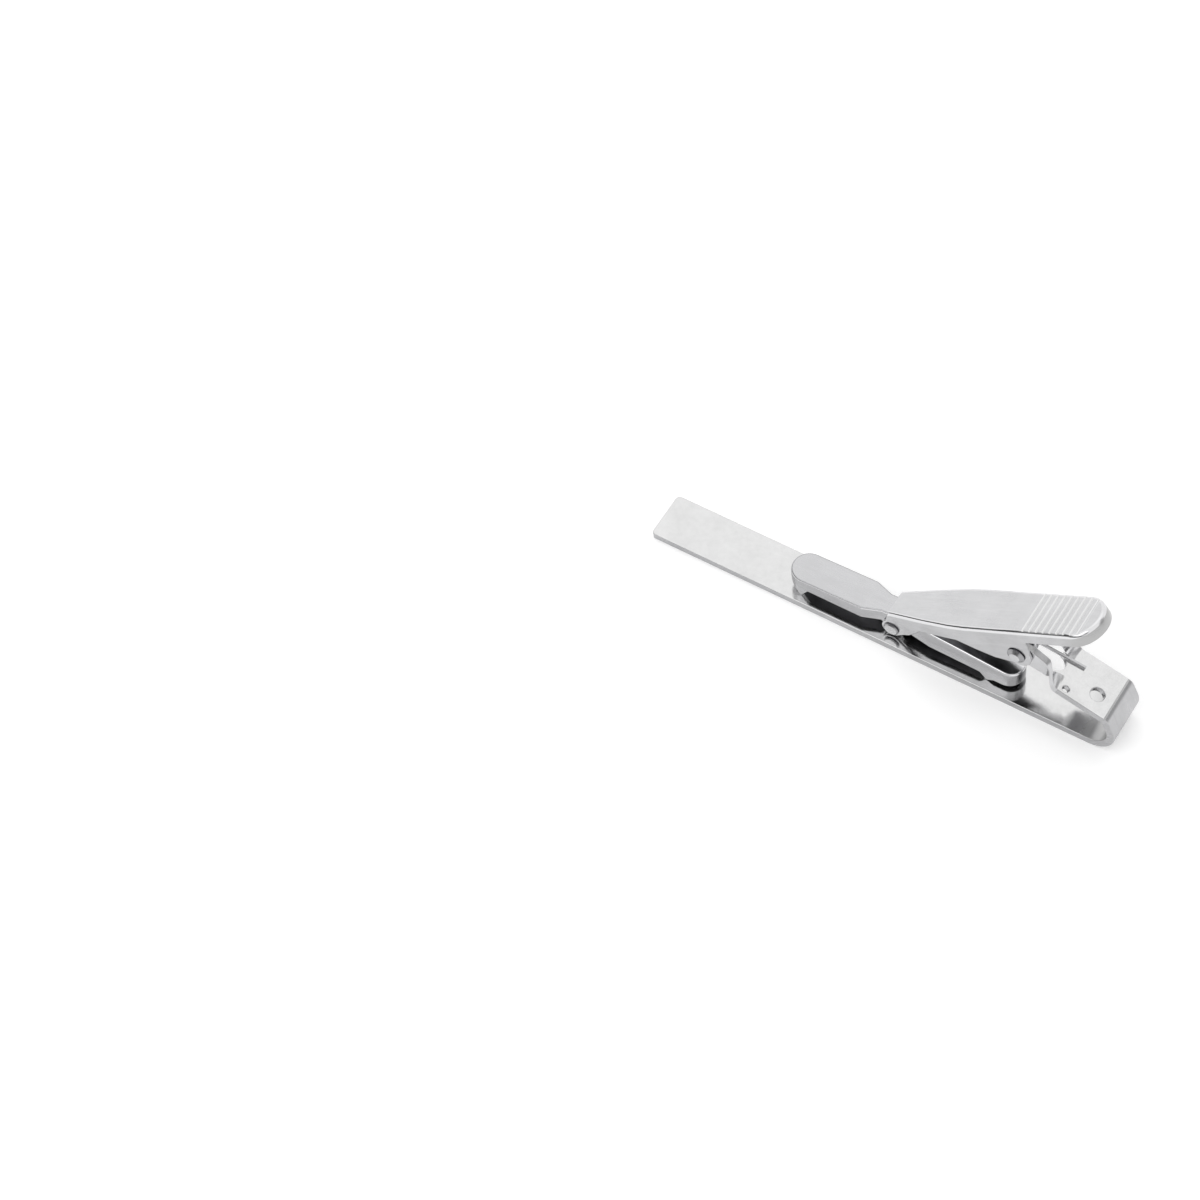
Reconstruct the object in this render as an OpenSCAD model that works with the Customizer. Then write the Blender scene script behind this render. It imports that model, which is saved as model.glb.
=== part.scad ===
// Tie clip: a folded bar with a sprung lever clasp.
// X runs along the bar towards the fold, +Z points from the bar's front face to its back.
// The origin lies under the middle of the clip, on the plane of the front face.

/* [Bar] */
// Length of the bar, over the fold
bar_length = 60; // [54:1:70]
// Width of the bar
bar_width = 6; // [5.6:0.2:8]
// Thickness of the strip
bar_thickness = 1; // [0.8:0.1:1.1]
// Radius of the two corners at the free end
bar_corner_radius = 0.5; // [0.2:0.1:1]
// Outside radius of the fold
fold_radius = 3.3; // [3.1:0.1:3.6]
// Lean of the flat at the end of the fold, in degrees
fold_lean = 22; // [16:1:26]
// Length of the flat at the end of the fold, up to the crease
fold_flat = 2; // [1.8:0.1:2.3]
// Outside radius of the crease between the fold and the tail
crease_radius = 1.2; // [1.15:0.05:1.4]
// Slope of the tail above the bar, in degrees
tail_slope = 16.5; // [14:0.5:18]
// Diameter of the plating hole in the tail
hang_hole_d = 1.7; // [1:0.1:2]
// Distance of the plating hole from the crease
hang_hole_run = 2.45; // [2.1:0.05:3]
// How far the plating hole lies to the near side of the middle
hang_hole_side = 0.8; // [0:0.1:1]

/* [Ears] */
// Where the legs leave the tail, from the crease
leg_root_run = 6.5; // [6.3:0.1:6.7]
// Where the legs stand upright, from the crease
leg_stand_run = 9.2; // [9:0.1:9.4]
// Distance of the pivot from the crease, along the tail
pivot_run = 12.3; // [11.8:0.1:12.8]
// Radius of the ears round the pivot
ear_radius = 1.5; // [1.3:0.1:1.6]
// Thickness of the ears
ear_thickness = 0.8; // [0.7:0.05:0.8]
// Width of the notch between the legs
notch_width = 2.2; // [2.1:0.1:2.6]
// Where the notch ends, from the crease
notch_run = 7; // [6.8:0.1:7.2]
// Diameter of the relief hole at the near leg's bend
relief_d = 0.8; // [0.5:0.1:0.9]

/* [Lever] */
// Width of the lever at its grip
lever_width = 6; // [6:0.1:6.4]
// Width of the lever at its nose
nose_width = 3.6; // [3.4:0.1:3.8]
// Thickness of the lever's sheet
lever_sheet = 0.45; // [0.4:0.05:0.5]
// Distance from the pivot to the nose pin, along the lever
nose_reach = 18.6; // [18:0.1:19.4]
// Height of the nose pin above the pivot, square to the lever
nose_offset = 1.3; // [1.1:0.1:1.5]
// Distance from the pivot to the end of the grip, along the lever
grip_reach = 12.4; // [12:0.1:13]
// Height of the lever's top above the pivot
lever_top = 3.85; // [3.7:0.05:4]
// Radius of the lever's walls round the pivot
lever_ear_radius = 1.8; // [1.6:0.1:2]
// Radius of the lever's walls round the nose pin
nose_ear_radius = 1.25; // [1.2:0.05:1.3]
// Depth of the rim round the grip
rim_depth = 1.7; // [1.4:0.1:2]
// Rounding along the top edges of the lever
lever_edge_radius = 0.4; // [0.2:0.05:0.45]
// Number of ribs across the grip
rib_count = 9; // [5:1:9]
// Distance between ribs
rib_pitch = 0.95; // [0.8:0.05:1]
// Height of the ribs inside the grip
rib_height = 0.16; // [0.1:0.02:0.2]
// Depth of the grooves behind the ribs
groove_depth = 0.07; // [0.04:0.01:0.1]

/* [Jaw] */
// Length of the jaw in front of its pin
jaw_front = 13.8; // [12:0.1:15]
// Length of the jaw behind its pin
jaw_back = 16; // [15:0.1:16.4]
// Width of the front of the jaw
jaw_width = 4.1; // [3.6:0.1:4.6]
// Width of the back of the jaw
heel_width = 3.5; // [3:0.1:3.6]
// Thickness of the jaw's sheet
jaw_sheet = 0.45; // [0.4:0.05:0.5]
// Height of the jaw pin above the bar's back
jaw_pin_height = 1.5; // [1.45:0.05:1.8]
// Height of the jaw's tip above its pin
tip_rise = 1.45; // [1.3:0.05:1.6]
// Height of the jaw's neck above its pin
neck_rise = 1.9; // [1.8:0.05:1.95]
// Height of the jaw's ridge behind its neck, above its pin
ridge_rise = 2.5; // [2.2:0.05:2.6]
// Height of the jaw's back end above its pin
heel_rise = 1.2; // [1:0.05:1.3]
// Height of the front walls' lower edges under the pin
wall_drop = 0.05; // [0:0.05:0.3]
// Gap between the front teeth and the bar
tooth_gap = 0.1; // [0.06:0.02:0.2]
// Gap between the heel and the bar
heel_gap = 0.06; // [0.04:0.01:0.2]

/* [Pins] */
// Diameter of the lever's pivot pin
pivot_pin_d = 1.6; // [1.4:0.1:1.7]
// Diameter of the pivot pin's riveted ends
pivot_head_d = 2.2; // [2:0.1:2.4]
// Thickness of the pivot pin's riveted ends
pivot_head_h = 0.5; // [0.3:0.05:0.6]
// Diameter of the jaw pin
nose_pin_d = 1.2; // [1:0.1:1.3]
// Diameter of the jaw pin's riveted ends
nose_head_d = 1.9; // [1.6:0.1:2]
// Thickness of the jaw pin's riveted ends
nose_head_h = 0.3; // [0.2:0.05:0.4]

/* [Spring] */
// Diameter of the spring wire
wire_d = 0.42; // [0.38:0.01:0.43]
// Mean radius of the spring's coil
coil_radius = 1.35; // [1.3:0.05:1.4]
// Whole turns of the coil, besides the part turn between its legs
coil_turns = 2; // [1:1:2]
// Length of the leg that lies on the tail
tail_leg = 7.2; // [6:0.1:8]
// Length of the leg that lies under the grip
grip_leg = 5.6; // [5:0.1:6]

/* [Clearances] */
// Gap between a turning piece and its pin, on the radius
running_gap = 0.05; // [0.03:0.01:0.08]
// Gap between a pin and the walls that it is riveted in, on the radius
seat_gap = 0.01; // [0.005:0.005:0.02]
// Gap between the side walls of pieces that turn beside each other
side_gap = 0.05; // [0.04:0.01:0.08]
// Gap between the spring and what it bears on
spring_gap = 0.03; // [0.02:0.01:0.05]

/* [Hidden] */

$fn = 64;
// Overrun of every cut, and thickness of the thinnest hulled layer
overrun = 1;
skin = 0.01;

steel = [0.78, 0.79, 0.80];
lever_steel = [0.72, 0.73, 0.75];
jaw_steel = [0.66, 0.67, 0.69];
pin_steel = [0.86, 0.86, 0.87];
wire_steel = [0.55, 0.56, 0.58];

// The fold is a round bend, a short flat and a crease, and the tail starts at the crease's corner
fold_x = bar_length / 2 - fold_radius;
flat_x = fold_x + fold_radius * cos(fold_lean);
flat_z = fold_radius * (1 + sin(fold_lean));
crease_turn = 90 - tail_slope - fold_lean;
crease_reach = crease_radius * tan(crease_turn / 2);
crease_x = flat_x - fold_flat * sin(fold_lean);
crease_z = flat_z + fold_flat * cos(fold_lean);
crease_centre = [crease_x, crease_z] - crease_radius * [cos(fold_lean), sin(fold_lean)]
    - crease_reach * [-sin(fold_lean), cos(fold_lean)];
tail_end = [crease_x, crease_z] + leg_root_run * [-cos(tail_slope), sin(tail_slope)];
fold_steps = 24;
crease_steps = 10;

// The pivot stands as high over the tail as the coil round it needs
pivot_rise = coil_radius + wire_d / 2 + spring_gap;
pivot_x = crease_x - pivot_run * cos(tail_slope) + pivot_rise * sin(tail_slope);
pivot_z = crease_z + pivot_run * sin(tail_slope) + pivot_rise * cos(tail_slope);

// The lever leans until the jaw at its nose lies on the bar
nose_span = sqrt(nose_reach * nose_reach + nose_offset * nose_offset);
jaw_pin_z = bar_thickness + jaw_pin_height;
lever_tilt = asin((pivot_z - jaw_pin_z) / nose_span) + atan2(nose_offset, nose_reach);
jaw_pin_x = pivot_x - nose_reach * cos(lever_tilt) - nose_offset * sin(lever_tilt);

// Ears of the bar, which stand between the lever's walls
ear_outer = lever_width / 2 - lever_sheet - side_gap;
ear_inner = ear_outer - ear_thickness;
ear_low_share = 0.22;
ear_high_share = 0.86;
ear_crown_share = 0.55;
ear_low = pivot_rise * ear_low_share;
ear_top = pivot_rise + ear_radius;
ear_high = ear_top * ear_high_share;
ear_crown_run = leg_stand_run + (pivot_run - leg_stand_run) * ear_crown_share;
leg_blend = 0.5;
leg_lap = 0.3;
leg_steps = 10;
leg_fill_share = 0.18;
leg_bulge = 0.1;
web_lap = 0.3;
ear_flank_share = 0.7;
relief_edge_share = 0.8;
relief_run = leg_root_run - relief_d;
relief_y = bar_width / 2 - relief_d * relief_edge_share;

// Plan of the lever: shares of the nose reach, and of the widening from nose to grip
flare_shares = [[0.93, 0], [0.645, 0.58], [0.425, 0.92], [0.3, 1]];
nose_shares = [1.09, 0.8];
grip_r = lever_width / 2;

// Side of the lever's walls: shares of the nose reach, and heights over the pivot
web_end_share = 0.945;
wall_front_share = 0.88;
wall_high_share = 0.73;
kink_share = 0.425;
wall_slope_share = 0.19;
nose_wall_height = 2.1;
kink_height = 2.3;
slope_height = 4.6;
wall_toe_share = 0.7;
wall_toe_angle = 25;
rim_start = 2.6;
rib_start = 3;
rib_r = 0.32;

// Side of the jaw, measured from its pin
jaw_nose_half = nose_width / 2 - lever_sheet - side_gap;
neck_clearance = 0.35;
neck_half_length = nose_ear_radius + neck_clearance;
neck_flare = 2.2;
heel_flare = 3.2;
jaw_lug_radius = 1.15;
tooth_length = 2.1;
tooth_slope = 0.9;
tip_lift = 1;
heel_tooth_share = 0.76;
heel_wall = 1.9;
heel_tooth_half = 0.9;
heel_lift = 0.5;

// Heads of the pins
pivot_grip = lever_width / 2 + side_gap;
nose_grip = nose_width / 2 + seat_gap;
head_crown_share = 0.35;

// Path of the spring's wire, as points round the pivot
ring_sides = 6;
rings_per_turn = 8;
leg_rings = 3;
coil_near_share = 0.34;
tail_leg_lean_share = 0.9;
coil_half = ear_inner - wire_d / 2 - spring_gap;
coil_near = coil_half * coil_near_share;
tail_leg_lean = (notch_width / 2 - coil_near) * tail_leg_lean_share;
grip_leg_height = lever_top - lever_sheet - rib_height - wire_d / 2 - spring_gap;
grip_leg_rise = asin(grip_leg_height / norm([coil_radius, grip_leg])) - atan2(coil_radius, grip_leg);
tail_leg_angle = -tail_slope;
grip_leg_angle = lever_tilt + grip_leg_rise;
coil_start = tail_leg_angle - 90;
coil_sweep = 360 * coil_turns + 180 - (grip_leg_angle - tail_leg_angle);
coil_rings = ceil(coil_sweep / 360 * rings_per_turn);

module on_tail() {
    translate([crease_x, 0, crease_z]) rotate([0, tail_slope, 0]) rotate([0, 0, 180]) children();
}

module on_lever() {
    translate([pivot_x, 0, pivot_z]) rotate([0, -lever_tilt, 0]) children();
}

module on_jaw() {
    translate([jaw_pin_x, 0, jaw_pin_z]) children();
}

// A side view, drawn in X and Z, given a width along Y
module wide(width) {
    translate([0, width / 2, 0]) rotate([90, 0, 0]) linear_extrude(width) children();
}

module cross_cylinder(d, width) {
    translate([0, width / 2, 0]) rotate([90, 0, 0]) cylinder(d = d, h = width);
}

// A solid through rings of points, each ring with the same number of sides
module loft(rings, sides) {
    count = len(rings);
    polyhedron(
        points = [for (r = rings) each r],
        faces = concat(
            [[for (k = [0:sides - 1]) k]],
            [[for (k = [sides - 1:-1:0]) (count - 1) * sides + k]],
            [for (i = [0:count - 2]) for (k = [0:sides - 1]) let(n = (k + 1) % sides)
                each [[i * sides + k, (i + 1) * sides + k, (i + 1) * sides + n],
                    [i * sides + k, (i + 1) * sides + n, i * sides + n]]]));
}

// Points on one bend of the strip, between two directions of its outer face
function bend_line(centre, r, from, to, steps) =
    [for (i = [0:steps]) let(a = from + (to - from) * i / steps) centre + r * [cos(a), sin(a)]];

// Line of the strip at a depth under its outer face: bar, fold, flat, crease and tail
function strip_line(depth) = concat([[-bar_length / 2, depth]],
    bend_line([fold_x, fold_radius], fold_radius - depth, -90, fold_lean, fold_steps),
    bend_line(crease_centre, crease_radius - depth, fold_lean, 90 - tail_slope, crease_steps),
    [tail_end - depth * [sin(tail_slope), cos(tail_slope)]]);

module strip_side() {
    outside = strip_line(0);
    inside = strip_line(bar_thickness);
    polygon(concat(outside, [for (i = [len(inside) - 1:-1:0]) inside[i]]));
}

module free_end_corners() {
    for (side = [-1, 1])
        translate([-bar_length / 2, side * bar_width / 2, 0])
            difference() {
                translate([-overrun, -bar_corner_radius, -overrun])
                    cube([overrun + bar_corner_radius, 2 * bar_corner_radius, bar_thickness + 2 * overrun]);
                translate([bar_corner_radius, -side * bar_corner_radius, -2 * overrun])
                    cylinder(r = bar_corner_radius, h = bar_thickness + 4 * overrun);
                translate([bar_corner_radius, -side * bar_corner_radius - bar_corner_radius, -2 * overrun])
                    cube([overrun, 2 * bar_corner_radius, bar_thickness + 4 * overrun]);
            }
}

// Corners of a leg across its run: its underside, then its outer face, where it is flat and upright
leg_flat = [[notch_width / 2, -bar_thickness], [bar_width / 2, -bar_thickness], [bar_width / 2, 0],
    [notch_width / 2, 0]];
leg_upright = [[ear_outer, ear_low], [ear_outer, ear_high], [ear_inner, ear_high], [ear_inner, ear_low]];
function mean(points) = [for (i = [0, 1]) (points[0][i] + points[1][i] + points[2][i] + points[3][i]) / 4];

// A leg's section at a share of its turn, a little fuller halfway
function leg_ring(run, share) =
    let(turn = share * share * (3 - 2 * share), swell = sin(180 * turn),
        corners = leg_flat + turn * (leg_upright - leg_flat), middle = mean(corners))
    [for (c = corners) let(at = middle + (1 + leg_fill_share * swell) * (c - middle))
        [run, at[0] + leg_bulge * swell, at[1]]];

// One leg turns from the flat of the tail to an upright ear
module leg() {
    loft(concat([leg_ring(leg_root_run - leg_blend, 0)],
        [for (i = [0:leg_steps]) leg_ring(leg_root_run + (leg_stand_run - leg_root_run) * i / leg_steps,
            i / leg_steps)],
        [leg_ring(leg_stand_run + leg_lap, 1)]), 4);
}

// The web between the legs' roots, up to the notch's round end
module web() {
    half = notch_width / 2 + web_lap;
    translate([leg_root_run - leg_blend, -half, -bar_thickness])
        cube([notch_run - leg_root_run + leg_blend + notch_width / 2, 2 * half, bar_thickness]);
}

module notch() {
    notch_end = notch_run + notch_width / 2;
    translate([notch_end, 0, -bar_thickness - overrun])
        cylinder(d = notch_width, h = bar_thickness + 2 * overrun);
}

module ear_side() {
    translate([pivot_run, pivot_rise]) circle(ear_radius);
    polygon([[leg_stand_run - skin, ear_low], [leg_stand_run - skin, ear_high],
        [ear_crown_run, ear_top], [pivot_run, ear_top],
        [pivot_run + ear_radius * ear_flank_share, pivot_rise], [pivot_run, pivot_rise - ear_radius]]);
}

module bar() {
    color(steel)
    difference() {
        union() {
            wide(bar_width) strip_side();
            on_tail() web();
            on_tail() for (side = [0, 1]) mirror([0, side, 0]) {
                leg();
                translate([0, ear_inner + ear_thickness / 2, 0]) wide(ear_thickness) ear_side();
            }
        }
        free_end_corners();
        on_tail() {
            notch();
            translate([hang_hole_run, hang_hole_side, -bar_thickness - overrun])
                cylinder(d = hang_hole_d, h = bar_thickness + 2 * overrun);
            translate([relief_run, relief_y, -bar_thickness - overrun])
                cylinder(d = relief_d, h = bar_thickness + 2 * overrun);
            translate([pivot_run, 0, pivot_rise])
                cross_cylinder(pivot_pin_d + 2 * seat_gap, lever_width);
        }
    }
}

// Plan of the lever behind its straight nose, drawn in by an inset
module lever_plan(inset) {
    widening = (lever_width - nose_width) / 2;
    half = [for (s = flare_shares) [-nose_reach * s[0], nose_width / 2 + widening * s[1] - inset]];
    polygon(concat(half, [[grip_reach - grip_r, grip_r - inset], [grip_reach - grip_r, -grip_r + inset]],
        [for (i = [len(half) - 1:-1:0]) [half[i][0], -half[i][1]]]));
    translate([grip_reach - grip_r, 0]) circle(grip_r - inset);
}

// A block over the lever's plan with a rounded top edge
module lever_block(inset, top, edge) {
    low = -lever_ear_radius - overrun;
    hull() {
        translate([0, 0, low]) linear_extrude(top - edge - low) lever_plan(inset);
        translate([0, 0, low]) linear_extrude(top - edge * (1 - sin(45)) - low)
            lever_plan(inset + edge * (1 - cos(45)));
        translate([0, 0, low]) linear_extrude(top - low) lever_plan(inset + edge);
    }
}

module nose_layer(low, top, inset) {
    translate([-nose_reach * nose_shares[0], -nose_width / 2 + inset, low])
        cube([nose_reach * (nose_shares[0] - nose_shares[1]), nose_width - 2 * inset, top - low]);
}

// A block over the lever's nose with a rounded top edge
module nose_block(top, edge) {
    low = -lever_ear_radius - overrun;
    hull() {
        nose_layer(low, top - edge, 0);
        nose_layer(low, top - edge * (1 - sin(45)), edge * (1 - cos(45)));
        nose_layer(low, top, edge);
    }
}

module lever_side() {
    wall_top = lever_top + overrun;
    polygon([[-nose_reach * web_end_share, lever_top], [-nose_reach * web_end_share, wall_top],
        [grip_reach + overrun, wall_top], [grip_reach + overrun, lever_top - rim_depth],
        [rim_start, lever_top - rim_depth],
        [lever_ear_radius, 0], [0, -lever_ear_radius * cos(wall_toe_angle)],
        [-nose_reach * wall_slope_share, lever_top - slope_height],
        [-nose_reach * kink_share, lever_top - kink_height],
        [-nose_reach * wall_high_share, lever_top - nose_wall_height],
        [-nose_reach * wall_front_share, nose_offset - nose_ear_radius * wall_toe_share],
        [-nose_reach, nose_offset - nose_ear_radius],
        [-nose_reach - nose_ear_radius, nose_offset]]);
}

module ribs(r, height) {
    for (i = [0:rib_count - 1])
        translate([rib_start + i * rib_pitch, 0, height]) cross_cylinder(2 * r, lever_width + 2 * overrun);
}

module lever() {
    inner_top = lever_top - lever_sheet;
    low = -lever_ear_radius - overrun;
    color(lever_steel) on_lever() {
        difference() {
            intersection() {
                union() {
                    lever_block(0, lever_top, lever_edge_radius);
                    nose_block(lever_top, lever_edge_radius);
                }
                union() {
                    wide(lever_width + overrun) lever_side();
                    cross_cylinder(2 * lever_ear_radius, lever_width + overrun);
                    translate([-nose_reach, 0, nose_offset])
                        cross_cylinder(2 * nose_ear_radius, lever_width + overrun);
                }
            }
            difference() {
                lever_block(lever_sheet, inner_top, lever_edge_radius / 2);
                ribs(rib_r, inner_top + rib_r - rib_height);
            }
            translate([-nose_reach - nose_ear_radius - overrun, -nose_width / 2 + lever_sheet, low])
                cube([nose_reach, nose_width - 2 * lever_sheet, inner_top - low]);
            ribs(rib_r, lever_top + rib_r - groove_depth);
            cross_cylinder(pivot_pin_d + 2 * running_gap, lever_width + overrun);
            translate([-nose_reach, 0, nose_offset])
                cross_cylinder(nose_pin_d + 2 * seat_gap, lever_width + overrun);
        }
    }
}

// A block over the jaw's plan: a round-ended paddle, the neck and a round-ended heel
module jaw_block(inset, height) {
    front_r = jaw_width / 2;
    heel_r = heel_width / 2;
    half = [[-jaw_front + front_r, front_r - inset], [-neck_half_length - neck_flare, front_r - inset],
        [-neck_half_length, jaw_nose_half - inset], [neck_half_length, jaw_nose_half - inset],
        [neck_half_length + heel_flare, heel_r - inset], [jaw_back - heel_r, heel_r - inset]];
    linear_extrude(height) polygon(concat(half, [for (i = [len(half) - 1:-1:0]) [half[i][0], -half[i][1]]]));
    translate([-jaw_front + front_r, 0, 0]) cylinder(r = front_r - inset, h = height);
    translate([jaw_back - heel_r, 0, 0]) cylinder(r = heel_r - inset, h = height);
}

// Top line of the jaw, lowered by a depth
function jaw_top_line(depth) = [
    [-jaw_front - overrun, tip_rise - depth],
    [-neck_half_length, neck_rise - depth],
    [neck_half_length + heel_flare, ridge_rise - depth],
    [jaw_back + overrun, heel_rise - depth]];

module jaw_side() {
    tooth_z = -jaw_pin_height + tooth_gap;
    heel_z = -jaw_pin_height + heel_gap;
    heel_x = jaw_back * heel_tooth_share;
    polygon(concat(jaw_top_line(0), [
        [jaw_back + overrun, heel_rise - heel_wall],
        [heel_x + 2 * heel_tooth_half, heel_z + heel_lift],
        [heel_x + heel_tooth_half, heel_z + heel_lift],
        [heel_x, heel_z],
        [heel_x - heel_tooth_half, heel_z + 2 * heel_lift],
        [neck_half_length, -wall_drop],
        [0, -jaw_lug_radius],
        [-neck_half_length, -wall_drop],
        [-jaw_front + tooth_length + tooth_slope, -wall_drop],
        [-jaw_front + tooth_length, tooth_z],
        [-jaw_front, tooth_z + tip_lift],
        [-jaw_front - overrun, tooth_z + tip_lift]]));
}

module jaw() {
    low = -jaw_pin_height - overrun;
    high = ridge_rise + overrun;
    color(jaw_steel) on_jaw() {
        difference() {
            intersection() {
                union() {
                    wide(jaw_width + overrun) jaw_side();
                    cross_cylinder(2 * jaw_lug_radius, jaw_width + overrun);
                }
                translate([0, 0, low]) jaw_block(0, high - low);
            }
            intersection() {
                wide(jaw_width + overrun) polygon(concat(jaw_top_line(jaw_sheet),
                    [[jaw_back + overrun, low], [-jaw_front - overrun, low]]));
                translate([0, 0, low - overrun]) jaw_block(jaw_sheet, high - low);
            }
            cross_cylinder(nose_pin_d + 2 * running_gap, jaw_width + overrun);
        }
    }
}

// A pin with a riveted, slightly domed end on both sides
module riveted_pin(d, head_d, head_h, grip) {
    crown = head_h * head_crown_share;
    half = [[d / 2, grip], [head_d / 2, grip], [head_d / 2, grip + head_h - crown],
        [head_d / 2 - crown, grip + head_h], [0, grip + head_h]];
    rotate([90, 0, 0]) rotate_extrude()
        polygon(concat([for (i = [len(half) - 1:-1:0]) [half[i][0], -half[i][1]]], half));
}

module pivot_pin() {
    color(pin_steel) on_lever() riveted_pin(pivot_pin_d, pivot_head_d, pivot_head_h, pivot_grip);
}

module jaw_pin() {
    color(pin_steel) on_jaw() riveted_pin(nose_pin_d, nose_head_d, nose_head_h, nose_grip);
}

// Points of the wire's middle line: the tail leg, the coil, then the grip leg
function round_pivot(angle, y) = [coil_radius * cos(angle), y, coil_radius * sin(angle)];
function along(angle, distance) = [distance * cos(angle), 0, distance * sin(angle)];
coil_end = coil_start - coil_sweep;
coil_path = [for (i = [0:coil_rings]) round_pivot(coil_start - coil_sweep * i / coil_rings,
    coil_near - (coil_near + coil_half) * i / coil_rings)];
tail_leg_span = along(tail_leg_angle, tail_leg) + [0, tail_leg_lean, 0];
grip_leg_span = along(grip_leg_angle, grip_leg);
tail_leg_path = [for (i = [0:leg_rings - 1]) coil_path[0] + tail_leg_span * (1 - i / leg_rings)];
grip_leg_path = [for (i = [1:leg_rings]) coil_path[coil_rings] + grip_leg_span * i / leg_rings];
wire_path = concat(tail_leg_path, coil_path, grip_leg_path);

// Least gap between turns, from each point of the coil to those a half turn or more on
coil_gap = min([for (i = [0:coil_rings]) for (j = [i + rings_per_turn / 2:coil_rings])
    norm(coil_path[i] - coil_path[j])]) - wire_d;
echo(coil_gap = coil_gap);

module wire_tube(path, d) {
    count = len(path);
    function forward(i) = let(a = path[max(i - 1, 0)], b = path[min(i + 1, count - 1)]) (b - a) / norm(b - a);
    function across(i) = let(f = forward(i), c = cross(f, [0, 1, 0])) c / norm(c);
    loft([for (i = [0:count - 1]) let(f = forward(i), u = across(i), v = cross(f, u))
        [for (k = [0:ring_sides - 1]) let(a = 360 * k / ring_sides)
            path[i] + d / 2 * (cos(a) * u + sin(a) * v)]], ring_sides);
}

module spring() {
    color(wire_steel) translate([pivot_x, 0, pivot_z]) wire_tube(wire_path, wire_d);
}

bar();
lever();
jaw();
pivot_pin();
jaw_pin();
spring();
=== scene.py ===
"""Looks of a tie clip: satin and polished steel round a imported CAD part, on a pale floor."""

import logging
import math
from abc import ABC, abstractmethod
from collections.abc import Callable
from dataclasses import dataclass
from enum import Enum

import bmesh
import bpy
from mathutils import Matrix, Vector


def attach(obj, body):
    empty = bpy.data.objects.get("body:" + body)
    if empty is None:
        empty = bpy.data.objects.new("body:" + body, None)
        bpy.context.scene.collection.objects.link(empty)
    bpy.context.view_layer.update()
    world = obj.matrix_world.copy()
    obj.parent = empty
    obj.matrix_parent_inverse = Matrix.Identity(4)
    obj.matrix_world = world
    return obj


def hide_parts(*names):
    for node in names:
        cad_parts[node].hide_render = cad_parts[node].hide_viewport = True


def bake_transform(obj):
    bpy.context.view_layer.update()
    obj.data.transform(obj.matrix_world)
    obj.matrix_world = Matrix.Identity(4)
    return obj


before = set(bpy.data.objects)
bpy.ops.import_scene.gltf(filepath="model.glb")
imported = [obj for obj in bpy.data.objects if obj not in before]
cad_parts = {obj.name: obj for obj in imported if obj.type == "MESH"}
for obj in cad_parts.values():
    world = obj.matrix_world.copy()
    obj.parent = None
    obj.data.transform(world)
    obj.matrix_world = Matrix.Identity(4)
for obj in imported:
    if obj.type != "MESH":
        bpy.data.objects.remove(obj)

MM = 0.001
WHITE = (1.0, 1.0, 1.0, 1.0)
Y_AXIS = Vector((0.0, 1.0, 0.0))
log = logging.getLogger("tie_clip")


class Grain(Enum):
    """How drawn lines stretch in a piece's own coordinates."""

    ALONG = (0.05, 1.0, 1.0)
    ROUND = (0.05, 1.0, 0.05)
    EVEN = (1.0, 1.0, 1.0)


class NodeMaker:
    """Adds, sets and joins shader nodes in one node tree."""

    def __init__(self, tree: bpy.types.NodeTree) -> None:
        """Keeps the tree that the nodes go into."""
        self.tree = tree

    def add(self, kind: str, **settings: object) -> bpy.types.Node:
        """Adds a node.

        Args:
            kind: The node's Blender type.
            **settings: Properties of the node.

        Returns:
            The new node.
        """
        node = self.tree.nodes.new(kind)
        for name, value in settings.items():
            setattr(node, name, value)
        return node

    def value(self, node: bpy.types.Node, **inputs: object) -> bpy.types.Node:
        """Sets plain values on a node's inputs; a name's underscores stand for spaces.

        Args:
            node: The node to set.
            **inputs: Values by socket name.

        Returns:
            The same node.
        """
        for name, number in inputs.items():
            node.inputs[name.replace("_", " ")].default_value = number
        return node

    def join(self, out: bpy.types.NodeSocket, into: bpy.types.NodeSocket) -> None:
        """Links an output to an input."""
        self.tree.links.new(out, into)

    def math(self, operation: str, *given: object) -> bpy.types.NodeSocket:
        """Adds a math node on sockets or numbers.

        Args:
            operation: The math node's operation.
            *given: Sockets or numbers, in the node's order.

        Returns:
            The node's output.
        """
        node = self.add("ShaderNodeMath", operation=operation)
        for socket, one in zip(node.inputs, given):
            if isinstance(one, bpy.types.NodeSocket):
                self.join(one, socket)
            else:
                socket.default_value = one
        return node.outputs[0]

    def ramp(self, out: bpy.types.NodeSocket, **ends: float) -> bpy.types.NodeSocket:
        """Maps a value softly from one range to another.

        Args:
            out: The value.
            **ends: From_Min, From_Max, To_Min and To_Max, as far as they aren't 0 and 1.

        Returns:
            The mapped value.
        """
        node = self.value(self.add("ShaderNodeMapRange", interpolation_type="SMOOTHSTEP"), **ends)
        self.join(out, node.inputs["Value"])
        return node.outputs["Result"]

    def mix(self, share: bpy.types.NodeSocket) -> tuple[list[bpy.types.NodeSocket], bpy.types.NodeSocket]:
        """Adds a mix of two colours.

        Args:
            share: Share of the second colour.

        Returns:
            The two colour inputs, and the output.
        """
        node = self.add("ShaderNodeMix", data_type="RGBA")
        self.join(share, node.inputs[0])
        colours = [socket for socket in node.inputs if socket.type == "RGBA"]
        return colours, next(socket for socket in node.outputs if socket.type == "RGBA")


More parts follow.
